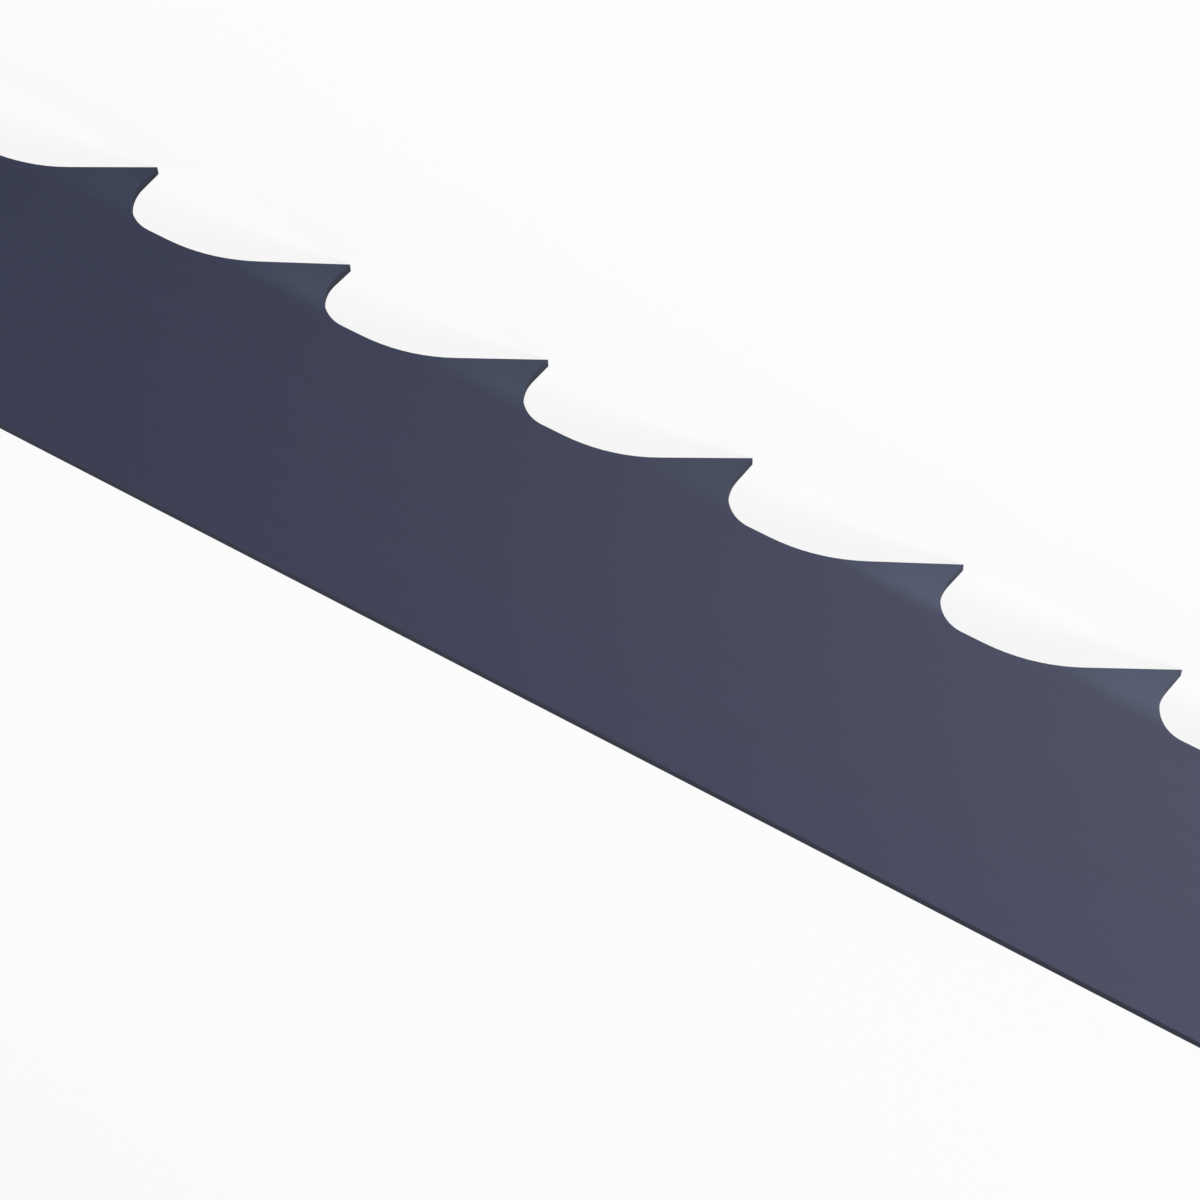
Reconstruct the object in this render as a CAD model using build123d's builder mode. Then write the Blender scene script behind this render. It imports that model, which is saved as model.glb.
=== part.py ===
from build123d import *
from math import cos, pi, radians, sin, tan
import os

# Band saw blade: an endless loop of flat steel, in the shape it has on its two wheels.
# Millimetres. X is along the two straight runs, Y across the loop, Z up.
# The loop stands on the tips of its teeth, at Z = 0, with the back edge on top.
# Seen from above, the teeth point clockwise.

# The band, with a whole number of teeth round the loop
tooth_count = 135
tooth_pitch = 22.225
band_width = 31.75
band_thickness = 1.143
wheel_diameter = 406.4

# The tooth form, before the teeth are set
rake_angle = 9.0
back_angle = 28.5
gullet_depth = 6.47
gullet_front_radius = 3.6
gullet_floor = 2.3

# The set: teeth are left straight, bent out and bent in by turns, at a line below their tips
set_pattern = (0, 1, -1)
set_angle = 3.1
set_height = 5.2

# How far the cutting shapes reach past the steel, and how much two neighbours overlap
overcut = 2.0
overlap = band_thickness / 2

middle_radius = (wheel_diameter + band_thickness) / 2
wheel_spacing = tooth_count * tooth_pitch / 2 - pi * middle_radius
left_x = -wheel_spacing / 2
right_x = wheel_spacing / 2
root_height = set_height + band_thickness
sideways_reach = band_thickness + overcut

# The middle of the band's thickness, once round the loop in the direction that the teeth point
with BuildLine() as middle_line:
    ThreePointArc((left_x, -middle_radius), (left_x - middle_radius, 0), (left_x, middle_radius))
    Line((left_x, middle_radius), (right_x, middle_radius))
    ThreePointArc((right_x, middle_radius), (right_x + middle_radius, 0), (right_x, -middle_radius))
    Line((right_x, -middle_radius), (left_x, -middle_radius))


def tooth_place(number):
    # A plane just inside the loop at one tooth's tip: x the way the tooth points, y down, z out
    distance = number * tooth_pitch
    loop = middle_line.wire()
    tip = loop.position_at(distance, PositionMode.LENGTH)
    forward = loop.tangent_at(distance, PositionMode.LENGTH)
    middle = Plane(origin=tip, x_dir=forward, z_dir=forward.cross(Vector(0, 0, -1)))
    return middle.offset(-sideways_reach)


# The space round one tooth, whose tip is at the origin: half a gullet behind it and half in front
rake_direction = Vector(-sin(radians(rake_angle)), -cos(radians(rake_angle)))
front_arc_drop = gullet_front_radius * (1 + sin(radians(rake_angle)))
rake_length = (gullet_depth - front_arc_drop) / cos(radians(rake_angle))
with BuildSketch() as tooth_space:
    with BuildLine():
        rake = Line((0, 0), rake_direction * rake_length)
        front = JernArc(rake @ 1, rake_direction, gullet_front_radius, 90 + rake_angle)
        floor_start = (front @ 1).X
        floor_end = floor_start + gullet_floor - tooth_pitch
        back_foot = -gullet_depth / tan(radians(back_angle))
        rear_radius = (back_foot - floor_end) / tan(radians(back_angle / 2))
        rear = JernArc((floor_end, -gullet_depth), (1, 0), rear_radius, back_angle)
        cell_end = floor_start + gullet_floor / 2 + overlap / 2
        cell_start = cell_end - tooth_pitch - overlap
        Line(rear @ 1, (0, 0))
        Polyline(
            front @ 1,
            (cell_end, -gullet_depth),
            (cell_end, overcut),
            (cell_start, overcut),
            (cell_start, -gullet_depth),
            rear @ 0,
        )
    make_face()


def bent_edge(side):
    # The loop's edge, flat to the set line and bent to one side from there on
    with BuildPart() as half_loop:
        with BuildSketch(Plane((left_x, -middle_radius, 0), x_dir=(0, -1, 0), z_dir=(1, 0, 0))) as section:
            with BuildLine():
                root = Line((0, -root_height), (0, -set_height))
                PolarLine(root @ 1, set_height + overcut, 90 - side * set_angle)
            trace(line_width=band_thickness)
        extrude(section.sketch, amount=wheel_spacing)
        revolve(section.sketch, Axis((left_x, 0, 0), (0, 0, -1)), 180)
    with BuildPart() as loop:
        with PolarLocations(0, 2):
            add(half_loop.part)
    return loop.part


def tooth_stretches(turn):
    # The stretches of edge for all the teeth that share one turn of the set pattern
    places = [tooth_place(number) for number in range(turn, tooth_count, len(set_pattern))]
    with BuildPart() as stretches:
        with BuildSketch(*places):
            with Locations((cell_start, -root_height)):
                Rectangle(cell_end - cell_start, root_height + overcut, align=(Align.MIN, Align.MIN))
        extrude(amount=2 * sideways_reach, clean=False)
        add(bent_edge(set_pattern[turn]), clean=False, mode=Mode.INTERSECT)
    return stretches.part


with BuildPart() as band_saw_blade:
    with BuildSketch(Plane.XY.offset(root_height)):
        SlotCenterToCenter(wheel_spacing, wheel_diameter + 2 * band_thickness)
        SlotCenterToCenter(wheel_spacing, wheel_diameter, mode=Mode.SUBTRACT)
    extrude(amount=band_width - root_height)
    add([tooth_stretches(turn) for turn in range(len(set_pattern))])
    with BuildSketch(*[tooth_place(number) for number in range(tooth_count)]):
        add(tooth_space.sketch)
    extrude(amount=2 * sideways_reach, clean=False, mode=Mode.SUBTRACT)

band_saw_blade.part.label = "band_saw_blade"
os.makedirs("parts", exist_ok=True)
export_step(band_saw_blade.part, "parts/band_saw_blade.step")
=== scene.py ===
from math import cos, pi, radians, sin, tan

import bmesh
import bpy
from mathutils import Matrix, Vector


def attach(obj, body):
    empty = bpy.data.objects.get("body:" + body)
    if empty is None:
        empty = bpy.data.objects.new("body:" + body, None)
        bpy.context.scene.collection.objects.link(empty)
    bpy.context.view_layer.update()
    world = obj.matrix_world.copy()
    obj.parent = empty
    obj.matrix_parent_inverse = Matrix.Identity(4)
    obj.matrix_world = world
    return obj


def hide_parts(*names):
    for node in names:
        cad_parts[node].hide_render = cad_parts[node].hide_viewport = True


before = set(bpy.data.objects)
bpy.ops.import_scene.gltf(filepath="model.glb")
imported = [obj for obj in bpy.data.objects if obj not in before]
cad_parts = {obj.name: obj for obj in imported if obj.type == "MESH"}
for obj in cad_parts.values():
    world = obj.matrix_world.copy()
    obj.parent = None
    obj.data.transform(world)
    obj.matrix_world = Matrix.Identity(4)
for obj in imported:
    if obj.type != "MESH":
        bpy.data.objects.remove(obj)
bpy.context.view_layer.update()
print("frame loaded")

mm = 0.001

# The blade's shape, with lengths in millimetres and angles in degrees.
# It is made as a flat strip: X the way the teeth point, Y out of the loop, Z up from their tips.
blade = {
    "teeth": 135,
    "pitch": 22.225,
    "rakeAngle": 9.0,
    "backAngle": 28.5,
    "gulletDepth": 6.47,
    "frontRadius": 3.6,
    "floorLength": 2.3,
    "frontSteps": 14,            # faces in the gullet's front curve
    "rearSteps": 9,
    "width": 31.75,
    "thickness": 1.143,
    "wheelRadius": 203.2,
    "columns": 9,                # faces along one tooth, so that the strip goes round a wheel smoothly
    "backBevel": 0.08,           # the broken corners of the back edge
    "bevelSteps": 2,
    "setPattern": (0, 1, -1),    # straight, out, in
    "setAngle": 3.1,
    "setHeight": 5.2,            # of the line that the teeth are bent about
    "bendLength": 1.3,           # height of the soft bend round that line
    "bendSteps": 5,
    "sharpAngle": 30,            # faces that meet at more than this show an edge
    "rolledFacing": 0.7,         # a face is rolled, not ground, if its normal is this much along Y
    "outerSideUp": 40.0,         # how much higher the outer side lies on the UV map, for marks of its own
}
samePoint = 1e-3                 # points nearer to each other than this are one
onCut = 1e-4                     # points nearer to a cut than this lie on it

middleRadius = blade["wheelRadius"] + blade["thickness"] / 2
halfLoop = blade["teeth"] * blade["pitch"] / 2


def lineTo(bm, vert, x, z):
    # an edge from vert to the point x, z
    new = bmesh.ops.extrude_vert_indiv(bm, verts=[vert])["verts"][0]
    bmesh.ops.translate(bm, verts=[new], vec=Vector((x, 0, z)) - new.co)
    return new


def arcTo(bm, vert, centreX, centreZ, angle, steps):
    # a round stretch from vert, turned about a centre
    for step in range(steps):
        new = bmesh.ops.extrude_vert_indiv(bm, verts=[vert])["verts"][0]
        bmesh.ops.rotate(bm, verts=[new], cent=(centreX, 0, centreZ),
                         matrix=Matrix.Rotation(angle / steps, 3, "Y"))
        vert = new
    return vert


def cutAll(bm, point, normal):
    # new edges all along a plane
    bmesh.ops.bisect_plane(bm, geom=bm.verts[:] + bm.edges[:] + bm.faces[:], dist=onCut,
                           plane_co=point, plane_no=normal)


def makeToothCell():
    # one tooth and its stretch of band, from the middle of one gullet's floor to the middle of the next
    rake = radians(blade["rakeAngle"])
    back = radians(blade["backAngle"])
    depth = blade["gulletDepth"]
    radius = blade["frontRadius"]
    pitch = blade["pitch"]
    rakeEndZ = depth - radius * (1 + sin(rake))
    rakeEndX = -rakeEndZ * tan(rake)
    centreX = rakeEndX + radius * cos(rake)
    floorEndX = centreX + blade["floorLength"]
    rearRadius = (pitch - depth / tan(back) - floorEndX) / tan(back / 2)
    cellEnd = centreX + blade["floorLength"] / 2
    cellStart = cellEnd - pitch

    # the outline: down the tooth's back to its tip at 0, 0, up round the gullet and home along the back edge
    bm = bmesh.new()
    first = bm.verts.new((cellStart, 0, depth))
    vert = lineTo(bm, first, floorEndX - pitch, depth)
    vert = arcTo(bm, vert, floorEndX - pitch, depth - rearRadius, back, blade["rearSteps"])
    vert = lineTo(bm, vert, 0, 0)
    vert = lineTo(bm, vert, rakeEndX, rakeEndZ)
    vert = arcTo(bm, vert, centreX, depth - radius, radians(90) + rake, blade["frontSteps"])
    vert = lineTo(bm, vert, cellEnd, depth)
    vert = lineTo(bm, vert, cellEnd, blade["width"])
    last = lineTo(bm, vert, cellStart, blade["width"])
    bm.edges.new((last, first))
    bmesh.ops.contextual_create(bm, geom=bm.edges[:])

    # edges where it bends: upright ones for the wheels, level ones for the set
    for column in range(1, blade["columns"]):
        cutAll(bm, (cellStart + pitch * column / blade["columns"], 0, 0), (1, 0, 0))
    for row in range(blade["bendSteps"] + 1):
        bendZ = blade["setHeight"] + blade["bendLength"] * (row / blade["bendSteps"] - 0.5)
        cutAll(bm, (0, 0, bendZ), (0, 0, 1))

    # the thickness, left open at both ends, where the next teeth join on
    grown = bmesh.ops.extrude_face_region(bm, geom=bm.faces[:], use_keep_orig=True)["geom"]
    grownVerts = [part for part in grown if isinstance(part, bmesh.types.BMVert)]
    bmesh.ops.translate(bm, verts=grownVerts, vec=(0, blade["thickness"], 0))
    bmesh.ops.translate(bm, verts=bm.verts, vec=(0, -blade["thickness"] / 2, 0))
    ends = [face for face in bm.faces
            if min(abs(face.calc_center_median().x - x) for x in (cellStart, cellEnd)) < samePoint]
    bmesh.ops.delete(bm, geom=ends, context="FACES_ONLY")

    corners = [edge for edge in bm.edges
               if all(abs(vert.co.z - blade["width"]) < samePoint for vert in edge.verts)
               and abs(edge.verts[0].co.y - edge.verts[1].co.y) < samePoint]
    bmesh.ops.bevel(bm, geom=corners, offset=blade["backBevel"], offset_type="OFFSET", affect="EDGES",
                    segments=blade["bevelSteps"], profile=0.5, material=-1)
    return bm


def bendAway(z):
    # how far a set tooth stands aside at a height above its tip
    low = blade["setHeight"] - blade["bendLength"] / 2
    slope = tan(radians(blade["setAngle"]))
    if z <= low:
        return slope * (blade["setHeight"] - z)
    left = max(0, low + blade["bendLength"] - z)
    return slope * left * left / (2 * blade["bendLength"])


def roundTheWheels(co):
    # from the flat strip to the running shape, which starts with the left wheel's half turn and the far run;
    # the strip's second half is the same turned half round
    run = halfLoop - pi * middleRadius
    lengthway = co.x % (2 * halfLoop)
    flip = 1 if lengthway < halfLoop else -1
    lengthway %= halfLoop
    out = middleRadius + co.y
    if lengthway < pi * middleRadius:
        turned = lengthway / middleRadius
        x = -run / 2 - out * sin(turned)
        y = -out * cos(turned)
    else:
        x = lengthway - pi * middleRadius - run / 2
        y = out
    return Vector((flip * x, flip * y, co.z))


def makeBlade():
    cell = makeToothCell()
    cellMesh = bpy.data.meshes.new("toothCell")
    cell.to_mesh(cellMesh)
    cell.free()

    # the flat strip, tooth by tooth, with each tooth set to its side
    bm = bmesh.new()
    half = blade["teeth"] // 2
    for number in range(-half, blade["teeth"] - half):
        before = len(bm.verts)
        bm.from_mesh(cellMesh)
        side = blade["setPattern"][number % len(blade["setPattern"])]
        bm.verts.ensure_lookup_table()
        for vert in bm.verts[before:]:
            vert.co.y += side * bendAway(vert.co.z)
            vert.co.x += number * blade["pitch"]
    bpy.data.meshes.remove(cellMesh)
    bmesh.ops.remove_doubles(bm, verts=bm.verts, dist=samePoint)
    bmesh.ops.recalc_face_normals(bm, faces=bm.faces)

    # steel surfaces: 0 the rolled faces, 1 the ground edges
    uvLayer = bm.loops.layers.uv.new("alongBand")
    for face in bm.faces:
        face.material_index = 0 if abs(face.normal.y) > blade["rolledFacing"] else 1
        face.smooth = True
        for loop in face.loops:
            co = loop.vert.co
            up = blade["outerSideUp"] if co.y > 0 else 0
            loop[uvLayer].uv = (co.x * mm, (co.z + up) * mm)

    for vert in bm.verts:
        vert.co = roundTheWheels(vert.co)
    bmesh.ops.remove_doubles(bm, verts=bm.verts, dist=samePoint)
    bmesh.ops.scale(bm, verts=bm.verts, vec=(mm, mm, mm))

    mesh = bpy.data.meshes.new("toothedBand")
    bm.to_mesh(mesh)
    bm.free()
    mesh.set_sharp_from_angle(angle=radians(blade["sharpAngle"]))
    return mesh


# The blade's two finishes. Colours are linear, and places are in metres where no note says millimetres.
steel = {
    "body": (0.0772, 0.0800, 0.124),
    "bodyDark": (0.0356, 0.0408, 0.0738),
    "backPaintedShade": (0.81, 0.82, 0.86),     # painted shade: the body's darkening at the back edge
    "tooth": (0.098, 0.114, 0.165),
    "toothDark": (0.040, 0.051, 0.083),
    # the back edge's dark colour is painted shade
    "edge": (0.036, 0.040, 0.053),
    "toothEdge": (0.092, 0.103, 0.137),
    "toothEdgeDark": (0.048, 0.053, 0.070),
    "temperStart": -4.14,        # where on the noise the strip's middle lies, chosen so that the noise also paints a gradient of light along the stretch in view
    "temperScale": 2.5,
    "temperLow": 0.37,           # the noise levels that give the dark and the light colours
    "temperHigh": 0.59,
    "temperEven": 0.5,           # halfway, which both ends of the strip have, so that they match
    "evenFrom": 1.1,             # how far from the strip's middle the change to that starts
    "zoneTop": 6.6 * mm,         # height at which the teeth's lighter colour has faded out
    "zoneBottom": 4.4 * mm,      # and below which it is full
    "zoneLead": 4.0,             # millimetres in front of the tip; the next two are counted back from there
    "zoneFade": 7.0,
    "zoneEnd": 15.0,
    "rearShare": 0.35,           # how much of the teeth's colour is left there
    "tipShare": 0.7,             # and at the tip
    "toothSeed": 27336,          # draws each tooth's shade; picked because it suits the six teeth shown
    "toothSpread": 0.16,         # how much lighter and darker each tooth is made, as random tone and as painted light and shade of the set teeth
    "marksAlong": 26.0,          # rolling marks in a metre along the band and across it
    "marksAcross": 5200.0,
    "marksDetail": 3,
    "marksLow": 0.3,             # the noise levels of the darkest and the lightest mark
    "marksHigh": 0.7,
    "marksShade": 0.03,          # how much lighter and darker the marks are
    "marksRough": 0.05,          # and how much rougher and smoother
    "marksBump": 0.05,
    "marksHeight": 0.02 * mm,
    "specksScale": 3000.0,       # grinding specks in a metre
    "specksShade": 0.1,
    "roughness": 0.5,
    "metallic": 0.7,
    "edgeMetallic": 1.0,
    "grazing": (0.5, 0.5, 0.55),         # tint of what is reflected at a flat angle
}


def newMaterial(name):
    material = bpy.data.materials.new(name)
    material.use_nodes = True
    return material, material.node_tree, material.node_tree.nodes["Principled BSDF"]


def addNode(tree, kind, **settings):
    node = tree.nodes.new(kind)
    for key, value in settings.items():
        setattr(node, key, value)
    return node


def addRange(tree, value, fromMin, fromMax, toMin, toMax, kind="LINEAR"):
    # a value carried over from one range to another
    node = addNode(tree, "ShaderNodeMapRange", interpolation_type=kind)
    for name, level in (("From Min", fromMin), ("From Max", fromMax), ("To Min", toMin), ("To Max", toMax)):
        node.inputs[name].default_value = level
    tree.links.new(value, node.inputs["Value"])
    return node.outputs["Result"]


def addMath(tree, operation, *terms):
    # each term is a socket or a number
    node = addNode(tree, "ShaderNodeMath", operation=operation)
    for place, term in zip(node.inputs, terms):
        if isinstance(term, bpy.types.NodeSocket):
            tree.links.new(term, place)
        else:
            place.default_value = term
    return node.outputs["Value"]


def addAxis(tree, vector, axis):
    # one of a vector's three coordinates
    node = addNode(tree, "ShaderNodeSeparateXYZ")
    tree.links.new(vector, node.inputs["Vector"])
    return node.outputs[axis]


def addNoise(tree, vector, scale, start=(0, 0, 0), detail=2):
    # noise that is stretched by its own scale along each axis
    mapping = addNode(tree, "ShaderNodeMapping")
    mapping.inputs["Location"].default_value = start
    mapping.inputs["Scale"].default_value = scale
    tree.links.new(vector, mapping.inputs["Vector"])
    noise = addNode(tree, "ShaderNodeTexNoise")
    noise.inputs["Scale"].default_value = 1
    noise.inputs["Detail"].default_value = detail
    tree.links.new(mapping.outputs["Vector"], noise.inputs["Vector"])
    return noise.outputs["Fac"]


def mixColours(tree, share, first, second, blend="MIX"):
    # each of the two is a colour or a socket
    node = addNode(tree, "ShaderNodeMix", data_type="RGBA", blend_type=blend)
    tree.links.new(share, node.inputs["Factor"])
    for place, colour in (("A", first), ("B", second)):
        if isinstance(colour, bpy.types.NodeSocket):
            tree.links.new(colour, node.inputs[place])
        else:
            node.inputs[place].default_value = (*colour, 1)
    return node.outputs["Result"]


def addShade(tree, colour, value, spread):
    # a colour made lighter and darker by a value from 0 to 1
    node = addNode(tree, "ShaderNodeHueSaturation")
    tree.links.new(addRange(tree, value, 0, 1, 1 - spread, 1 + spread), node.inputs["Value"])
    tree.links.new(colour, node.inputs["Color"])
    return node.outputs["Color"]


def addTemperAndPaintedLight(tree, along):
    # slow changes of the temper colour along the band, from 0 to 1, that even out to the strip's two ends; on
    # the stretch in view they also paint a gradient of light along the band
    drift = addNoise(tree, along, (steel["temperScale"],) * 3, (steel["temperStart"], 0, 0), detail=1)
    level = addRange(tree, drift, steel["temperLow"], steel["temperHigh"], 0, 1)
    fromMiddle = addMath(tree, "ABSOLUTE", addAxis(tree, along, "X"))
    even = addRange(tree, fromMiddle, steel["evenFrom"], halfLoop * mm, 0, 1, "SMOOTHSTEP")
    spread = addNode(tree, "ShaderNodeMix")
    spread.inputs["B"].default_value = steel["temperEven"]
    tree.links.new(level, spread.inputs["A"])
    tree.links.new(even, spread.inputs["Factor"])
    return spread.outputs["Result"]


def makeBandSteel():
    material, tree, shader = newMaterial("temperedSteelAndPaintedLight")
    places = addNode(tree, "ShaderNodeTexCoord").outputs
    height = addAxis(tree, places["Object"], "Z")
    # temper colour along the band, partly painted light: a gradient of light along the stretch in view
    temperAndPaintedLight = addTemperAndPaintedLight(tree, places["UV"])

    # painted shade: the body gets darker towards the back edge
    across = addRange(tree, height, steel["zoneTop"], blade["width"] * mm, 0, 1)
    body = mixColours(tree, temperAndPaintedLight, steel["bodyDark"], steel["body"])
    body = mixColours(tree, across, body, steel["backPaintedShade"], "MULTIPLY")

    # the teeth: lighter behind the rake face, fading into the body, along the back and at the tip
    zone = addRange(tree, height, steel["zoneTop"], steel["zoneBottom"], 0, 1, "SMOOTHSTEP")
    tip = addRange(tree, height, 0, steel["zoneBottom"], steel["tipShare"], 1, "SMOOTHSTEP")
    teethPassed = addMath(tree, "MULTIPLY_ADD", addAxis(tree, places["UV"], "X"),
                          -1 / (blade["pitch"] * mm), steel["zoneLead"] / blade["pitch"])
    behind = addMath(tree, "FRACT", teethPassed)
    back = addRange(tree, behind, steel["zoneFade"] / blade["pitch"], steel["zoneEnd"] / blade["pitch"],
                    1, steel["rearShare"], "SMOOTHSTEP")
    toothness = addMath(tree, "MULTIPLY", zone, addMath(tree, "MULTIPLY", tip, back))
    # each tooth's shade, drawn at random: tone along the loop, and painted light and shade of the set teeth
    # in view
    number = addMath(tree, "ADD", addMath(tree, "FLOOR", teethPassed), steel["toothSeed"])
    chance = addNode(tree, "ShaderNodeTexWhiteNoise", noise_dimensions="1D")
    tree.links.new(number, chance.inputs["W"])
    teeth = mixColours(tree, temperAndPaintedLight, steel["toothDark"], steel["tooth"])
    teeth = addShade(tree, teeth, chance.outputs["Value"], steel["toothSpread"])

    # fine rolling marks along the band, in colour, gloss and relief
    marks = addNoise(tree, places["UV"], (steel["marksAlong"], steel["marksAcross"], 1),
                     detail=steel["marksDetail"])
    streaked = addRange(tree, marks, steel["marksLow"], steel["marksHigh"], 0, 1)
    colour = addShade(tree, mixColours(tree, toothness, body, teeth), streaked, steel["marksShade"])
    rough = addRange(tree, marks, 0, 1, steel["roughness"] - steel["marksRough"],
                     steel["roughness"] + steel["marksRough"])
    bump = addNode(tree, "ShaderNodeBump")
    bump.inputs["Strength"].default_value = steel["marksBump"]
    bump.inputs["Distance"].default_value = steel["marksHeight"]
    tree.links.new(marks, bump.inputs["Height"])

    tree.links.new(colour, shader.inputs["Base Color"])
    tree.links.new(rough, shader.inputs["Roughness"])
    tree.links.new(bump.outputs["Normal"], shader.inputs["Normal"])
    shader.inputs["Metallic"].default_value = steel["metallic"]
    shader.inputs["Specular Tint"].default_value = (*steel["grazing"], 1)
    return material


def makeEdgeSteel():
    material, tree, shader = newMaterial("groundEdgeAndPaintedShade")
    places = addNode(tree, "ShaderNodeTexCoord").outputs

    # the teeth's own edges are ground lighter than the back edge, whose darker colour is painted shade
    across = addRange(tree, addAxis(tree, places["Object"], "Z"), steel["zoneTop"], blade["width"] * mm, 0, 1)
    teeth = mixColours(tree, addTemperAndPaintedLight(tree, places["UV"]), steel["toothEdgeDark"], steel["toothEdge"])
    colour = mixColours(tree, across, teeth, steel["edge"])
    specks = addNoise(tree, places["Object"], (steel["specksScale"],) * 3)
    tree.links.new(addShade(tree, colour, specks, steel["specksShade"]), shader.inputs["Base Color"])
    shader.inputs["Metallic"].default_value = steel["edgeMetallic"]
    shader.inputs["Specular Tint"].default_value = (*steel["grazing"], 1)
    shader.inputs["Roughness"].default_value = steel["roughness"]
    return material


def addToScene(name, data):
    thing = bpy.data.objects.new(name, data)
    bpy.context.scene.collection.objects.link(thing)
    return thing


bladeMesh = makeBlade()
bladeMesh.materials.append(makeBandSteel())
bladeMesh.materials.append(makeEdgeSteel())
toothedBand = addToScene("toothedBand", bladeMesh)
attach(toothedBand, "root")
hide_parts("band_saw_blade")
print("blade made:", len(bladeMesh.polygons), "faces")

# The floor and what is seen behind the blade. Lengths are in metres.
studio = {
    "floorSize": 12.0,
    "floorColour": (0.9, 0.9, 0.9),
    "floorRoughness": 0.9,
    "seenWhite": 0.985,          # the background's level
    "whiteShare": 0.88,          # how far the floor goes towards it; the rest shows the light and the shadow
    "plainFrom": 0.75,           # distances from the middle between which the floor turns plain
    "plainTo": 1.5,
    "worldLight": 0.3,           # the level of the light from all round
}


def seenRays(tree):
    # 1 for what the camera, a reflection or clear glass sees, 0 for the light that falls on things
    rays = addNode(tree, "ShaderNodeLightPath").outputs
    seen = addMath(tree, "MAXIMUM", rays["Is Camera Ray"], rays["Is Glossy Ray"])
    return addMath(tree, "MAXIMUM", seen, rays["Is Transmission Ray"])


def makeFloor():
    bm = bmesh.new()
    bmesh.ops.create_grid(bm, x_segments=1, y_segments=1, size=studio["floorSize"] / 2)
    mesh = bpy.data.meshes.new("floor")
    bm.to_mesh(mesh)
    bm.free()
    floor = addToScene("floor", mesh)

    # a lit floor, mixed with the plain background for what is seen of it
    material, tree, shader = newMaterial("paleFloor")
    shader.inputs["Base Color"].default_value = (*studio["floorColour"], 1)
    shader.inputs["Roughness"].default_value = studio["floorRoughness"]
    shader.inputs["Specular IOR Level"].default_value = 0
    white = addNode(tree, "ShaderNodeEmission")
    white.inputs["Strength"].default_value = studio["seenWhite"]
    places = addNode(tree, "ShaderNodeTexCoord").outputs
    away = addNode(tree, "ShaderNodeVectorMath", operation="LENGTH")
    tree.links.new(places["Object"], away.inputs["Vector"])
    share = addRange(tree, away.outputs["Value"], studio["plainFrom"], studio["plainTo"],
                     studio["whiteShare"], 1, "SMOOTHSTEP")
    both = addNode(tree, "ShaderNodeMixShader")
    tree.links.new(addMath(tree, "MULTIPLY", seenRays(tree), share), both.inputs["Fac"])
    tree.links.new(shader.outputs["BSDF"], both.inputs[1])
    tree.links.new(white.outputs["Emission"], both.inputs[2])
    tree.links.new(both.outputs["Shader"], tree.nodes["Material Output"].inputs["Surface"])
    mesh.materials.append(material)


def makeWorld():
    world = bpy.data.worlds.new("paleRoom")
    bpy.context.scene.world = world
    world.use_nodes = True
    tree = world.node_tree
    background = tree.nodes["Background"]
    background.inputs["Color"].default_value = (1, 1, 1, 1)
    level = addRange(tree, seenRays(tree), 0, 1, studio["worldLight"], studio["seenWhite"])
    tree.links.new(level, background.inputs["Strength"])


# Metres and watts
softboxes = {
    "keyLight": {"place": (-0.95, -0.75, 0.45), "aim": (-0.1, -0.2, 0), "size": 0.6, "power": 20},
    "topLight": {"place": (0.4, 0.2, 1.8), "aim": (0, 0, 0), "size": 1.6, "power": 10},
}


def lookFrom(place, aim):
    # the turn of a lamp or camera that stands at one place and points at another
    return (Vector(aim) - Vector(place)).to_track_quat("-Z", "Y")


def addSoftbox(name, place, aim, size, power):
    light = bpy.data.lights.new(name, "AREA")
    light.shape = "SQUARE"
    light.size = size
    light.energy = power
    lamp = addToScene(name, light)
    lamp.visible_camera = False
    lamp.location = place
    lamp.rotation_euler = lookFrom(place, aim).to_euler()


makeFloor()
makeWorld()
for name, box in softboxes.items():
    addSoftbox(name, **box)
print("studio made")

# Metres, degrees, and millimetres for the lens and its sensor
view = {
    "place": (-0.143468, -0.518384, 0.168969),
    "aim": (-0.047512, -0.204343, 0.019989),
    "roll": 145.98,
    "lens": 118.5,
    "sensor": 36.0,
    "clip": (0.01, 50),          # the nearest and furthest that it sees
}


def makeCamera():
    camera = bpy.data.cameras.new("camera")
    camera.lens = view["lens"]
    camera.sensor_width = view["sensor"]
    camera.clip_start, camera.clip_end = view["clip"]
    eye = addToScene("camera", camera)
    turn = lookFrom(view["place"], view["aim"]).to_matrix()
    turn = turn @ Matrix.Rotation(-radians(view["roll"]), 3, "Z")
    eye.matrix_world = Matrix.Translation(view["place"]) @ turn.to_4x4()
    bpy.context.scene.camera = eye


makeCamera()
bpy.context.scene.view_settings.view_transform = "Standard"
print("camera made")
